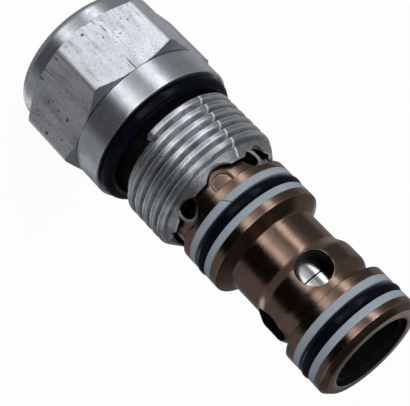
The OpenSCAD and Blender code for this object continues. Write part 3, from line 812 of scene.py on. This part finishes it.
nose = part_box("cage")[1].z / MM
land_1, land_2, neck, belly, chamber, spool_bore = 11.88, 11.08, 9.3, 10.25, 8.25, 7.05
section = ([(chamber, 28.7, 0.1), (11.25, 28.7, 0.1), (11.25, 30.15, 0.1), (10.5, 30.15),
            (10.5, 44.62, 0.04), (10.1, 44.62), (10.1, 44.9), (land_1, 44.9, 0.12), (land_1, 46.6, 0.08),
            (9.54, 46.6), (9.54, 52.05), (land_1, 52.05, 0.08), (land_1, 53.75, 0.1), (neck, 55.45, 0.4)]
           + rise(neck, 61.95, belly, 64.75) + rise(belly, 67.95, neck, 70.45)
           + [(neck, 71.45, 0.04), (9.05, 71.45), (9.05, 71.65), (land_2, 71.65, 0.12),
              (land_2, 73.5, 0.08), (8.74, 73.5), (8.74, 78.95), (land_2, 78.95, 0.08),
              (land_2, nose - 1.1, 0.1), (9.98, nose, 0.08), (8.1, nose, 0.12), (8.1, nose - 0.8),
              (spool_bore, nose - 0.85, 0.1), (spool_bore, 53.9, 0.1), (chamber, 53.9)])
cage = solid("cage_body", turned(section, steps=224, closed=True))
print("nose height:", round(nose, 2))

# %% Cage: ports and pockets
port_2 = [(3 + 90 * k, 66.25, 3.45) for k in range(4)]
port_3 = [(55 + 90 * k, 41.7, 2.1) for k in range(4)]
pockets = [(10 + 90 * k, 43.6, 1.9) for k in range(4)]


def drill(holes, depth_radius, bottom=0.01, sink=None):
    """Cutters for a ring of equal holes that open outwards, with a countersink from the radius `sink` up."""
    size, height, outside = holes[0][2], holes[0][1], 14
    top = [(size, sink), (size + outside - sink, outside)] if sink else [(size, outside)]
    profile = [(0, depth_radius), (size, depth_radius, bottom)] + top + [(0, outside)]
    return laid_out(lambda: turned(profile, steps=96), [azimuth for azimuth, *_ in holes], height)


combine(cage, "DIFFERENCE", drill(port_2, 5.3))
combine(cage, "DIFFERENCE", drill(port_3, 5.3, sink=9.85))
pocket = drill(pockets, 9.6, 0.2, sink=9.95)
bmesh.ops.bisect_plane(pocket, geom=[*pocket.verts, *pocket.edges, *pocket.faces],
                       plane_co=(0, 0, 44.76 * MM), plane_no=(0, 0, 1), clear_outer=True)
bmesh.ops.holes_fill(pocket, edges=[e for e in pocket.edges if e.is_boundary], sides=0)
combine(cage, "DIFFERENCE", pocket)
print("holes and pockets:", len(port_2), len(port_3), len(pockets))


# %% Cage: rims of the holes, and painted shade on their walls, the undercuts and the land shoulders
def off_axis(point, azimuth, height):
    """How far a point lies from a line that points outwards at an azimuth and a height, in mm."""
    local = Matrix.Rotation(math.radians(-azimuth), 3, "Z") @ (point / MM)
    return math.hypot(local.y, local.z - height) if local.x > 0 else 99


drilled = bmesh.new()
drilled.from_mesh(cage.data)
rim = [edge for edge in drilled.edges if len(edge.link_faces) == 2 and edge.calc_face_angle(0) > 0.5
       and min(Vector(v.co[:2]).length for v in edge.verts) > 8.7 * MM
       and any(all(abs(off_axis(v.co, *hole[:2]) - hole[2]) < 0.02 for v in edge.verts) for hole in port_2)]
eased = bmesh.ops.bevel(drilled, geom=rim, offset=0.12 * MM, affect="EDGES", segments=2, profile=0.5,
                        material=-1, clamp_overlap=True)["faces"]
rim_slot, shade_slot, highlight_slot = 1, 2, 3
undercuts = ((44.6, 44.91, 10.45), (71.44, 71.66, 9.25))
land_shoulders = ((44.91, 45.03), (71.66, 71.78))
for face in drilled.faces:
    middle = face.calc_center_median()
    out_by = Vector(middle[:2]).length / MM
    for azimuth, height, size in port_2 + port_3 + pockets:
        apart = off_axis(middle, azimuth, height)
        facing = face.normal.xy @ Vector((math.cos(math.radians(azimuth)), math.sin(math.radians(azimuth))))
        # Painted shade: the walls of the port 2 and port 3 holes get the near-black finish
        if abs(apart - size) < 0.03 and size > 2 and facing < 0.3:
            face.material_index = shade_slot
        # Port 3 countersinks are bare metal, and the pocket countersinks get the painted highlight bronze
        elif size < 3 and size < apart < size + 0.8 and facing < 0.85 and out_by > 9.7:
            face.material_index = highlight_slot if size < 2 else rim_slot
    # Painted shade: the bore, the undercuts and the land shoulders get the near-black finish
    level = middle.z / MM
    in_undercut = any(low < level < high and out_by < limit for low, high, limit in undercuts)
    on_shoulder = out_by > 10.9 and any(low < level < high for low, high in land_shoulders)
    if out_by < 8.2 or in_undercut or on_shoulder:
        face.material_index = shade_slot
for face in eased:
    face.material_index = rim_slot
print("port 2 rim edges:", len(rim))
drilled.to_mesh(cage.data)
drilled.free()
ready(cage, "valve_body",
      [bronze_coated_steel, bare_rim, painted_shade, painted_highlight_bronze], ["cage"])

# %% [markdown]
# ## Seals
# An O-ring is a circle spun around the axis. The back-up rings beside it are cut from PTFE tube, with a
# slanting cut so that they can be sprung over the land, and their corners are barely broken. Each keeps its
# own object, because each is a spare part on the real valve.

# %% O-rings
def o_ring(name, node):
    """A ring of round section that fills the box of its node."""
    low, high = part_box(node)
    thick = (high.z - low.z) / 2
    bm = bmesh.new()
    bmesh.ops.create_circle(bm, segments=32, radius=thick)
    bmesh.ops.rotate(bm, verts=bm.verts, cent=(0, 0, 0), matrix=Matrix.Rotation(math.pi / 2, 3, "X"))
    bmesh.ops.translate(bm, verts=bm.verts, vec=(high.x - thick, 0, (low.z + high.z) / 2))
    bmesh.ops.spin(bm, geom=[*bm.verts, *bm.edges], cent=(0, 0, 0), axis=(0, 0, 1), angle=2 * math.pi,
                   steps=180, use_merge=True)
    bmesh.ops.recalc_face_normals(bm, faces=bm.faces)
    ready(solid(name, bm), "valve_body", [black_rubber], [node], smooth=60,
          worn_and_highlit_below=0)


for node in ("flange_o_ring", "land_1_o_ring", "land_2_o_ring"):
    o_ring(node + "_rubber", node)

# %% Back-up rings
def back_up_ring(node, inner, cut_azimuth):
    """A square-section ring with a thin slanting cut."""
    low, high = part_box(node)
    outer, bottom, top = high.x / MM, low.z / MM, high.z / MM
    ring = solid(node + "_ptfe", turned([(inner, bottom, 0.06), (outer, bottom, 0.1), (outer, top, 0.1),
                                         (inner, top, 0.06)], steps=180, closed=True))
    knife = bmesh.new()
    bmesh.ops.create_cube(knife, size=1)
    bmesh.ops.scale(knife, verts=knife.verts, vec=(6 * MM, 0.14 * MM, 6 * MM))
    place = (Matrix.Rotation(math.radians(cut_azimuth), 4, "Z") @ Matrix.Translation(
        ((outer + inner) / 2 * MM, 0, (bottom + top) / 2 * MM)) @ Matrix.Rotation(math.radians(35), 4, "X"))
    bmesh.ops.transform(knife, matrix=place, verts=knife.verts)
    combine(ring, "DIFFERENCE", knife)
    ready(ring, "valve_body", [white_ptfe], [node], worn_and_highlit_below=0)


back_up_ring("land_1_plug_side_back_up_ring", 9.56, -70)
back_up_ring("land_1_nose_side_back_up_ring", 9.56, 100)
back_up_ring("land_2_plug_side_back_up_ring", 8.76, 60)
back_up_ring("land_2_nose_side_back_up_ring", 8.76, 150)

# %% [markdown]
# ## Spool and spring
# The spool is ground, so its edges are sharp and its grooves fine. The spring is wound from round wire: a
# circle is spun with a small rise at each step, with a slow rise over the closed turn at each end.

# %% Spool
spool_low, spool_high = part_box("spool")
head, tip = spool_low.z / MM, spool_high.z / MM
grooves = []
for z in (57.2, 61.8, 66.4):
    grooves += [(7.0, z, 0.03), (6.5, z), (6.5, z + 0.26), (7.0, z + 0.26, 0.03)]
spool = solid("spool_body", turned(
    [(2.91, head, 0.05), (8.15, head, 0.3), (8.15, head + 3.5, 0.1), (7.0, head + 3.5)] + grooves
    + [(7.0, tip, 0.4), (5.0, tip, 0.1), (5.0, 62.6), (5.4, 62.6), (5.4, 61.8), (5.0, 61.8), (5.0, 60.9),
       (2.51, 60.9), (2.51, head + 6.6), (1.2, head + 6.6), (1.2, head + 2.7), (2.91, head + 2.7)],
    steps=192, closed=True))
ready(spool, "spool_set", [ground_steel, painted_shade], ["spool"])
# Painted shade: the spool's inner faces and its grooves get the near-black finish
for polygon in spool.data.polygons:
    out_by = Vector(polygon.center[:2]).length / MM
    if out_by < 6.9 and polygon.center.z / MM < 67 or out_by < 5.45:
        polygon.material_index = 1

# %% Spring
spring_low, spring_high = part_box("bias_spring")
wire, coil, coil_turns, wound = 1.7, 6.6, 10, 32
foot = spring_low.z + wire / 2 * MM
lift_total = spring_high.z - spring_low.z - wire * MM
closed_rise = wire * 1.04 * MM
open_rise = (lift_total - 2 * closed_rise) / (coil_turns - 2)
spring_bm = bmesh.new()
bmesh.ops.create_circle(spring_bm, segments=14, radius=wire / 2 * MM)
bmesh.ops.rotate(spring_bm, verts=spring_bm.verts, cent=(0, 0, 0),
                 matrix=Matrix.Rotation(math.pi / 2, 3, "X"))
bmesh.ops.translate(spring_bm, verts=spring_bm.verts, vec=(coil * MM, 0, foot))
ring = [*spring_bm.verts, *spring_bm.edges]
for rise_per_turn, count in ((closed_rise, 1), (open_rise, coil_turns - 2), (closed_rise, 1)):
    made = bmesh.ops.spin(spring_bm, geom=ring, cent=(0, 0, 0), axis=(0, 0, 1),
                          dvec=(0, 0, rise_per_turn / wound), angle=2 * math.pi * count,
                          steps=wound * count)
    ring = [g for g in made["geom_last"] if not isinstance(g, bmesh.types.BMFace)]
bmesh.ops.holes_fill(spring_bm, edges=[e for e in spring_bm.edges if e.is_boundary], sides=0)
bmesh.ops.recalc_face_normals(spring_bm, faces=spring_bm.faces)
spring = ready(solid("bias_spring_wire", spring_bm), "valve_body", [spring_steel],
               ["bias_spring"], smooth=60, worn_and_highlit_below=0)
# The top of the spring's seat stays at 10.9 mm, and the spool's stroke is 6 mm
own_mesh(spring)

# %% [markdown]
# ## Pieces that keep their construction mesh
# The shims, the seat, the pin, the guide, the orifice screw, the screen, the clip and the snap ring are
# small and true as they are. They only get their finish.

# %% Finishes for the carried-over pieces
for node, material in (("thick_preload_shim", ground_steel), ("thin_preload_shim", ground_steel),
                       ("spring_seat", ground_steel), ("stroke_stop_pin", ground_steel),
                       ("spring_guide", ground_steel), ("orifice_screw", ground_steel),
                       ("filter_screen", ground_steel), ("filter_clip", spring_steel),
                       ("cage_snap_ring", spring_steel)):
    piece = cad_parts[node]
    piece.data.materials.clear()
    piece.data.materials.append(material)
    print(node, "gets", material.name)
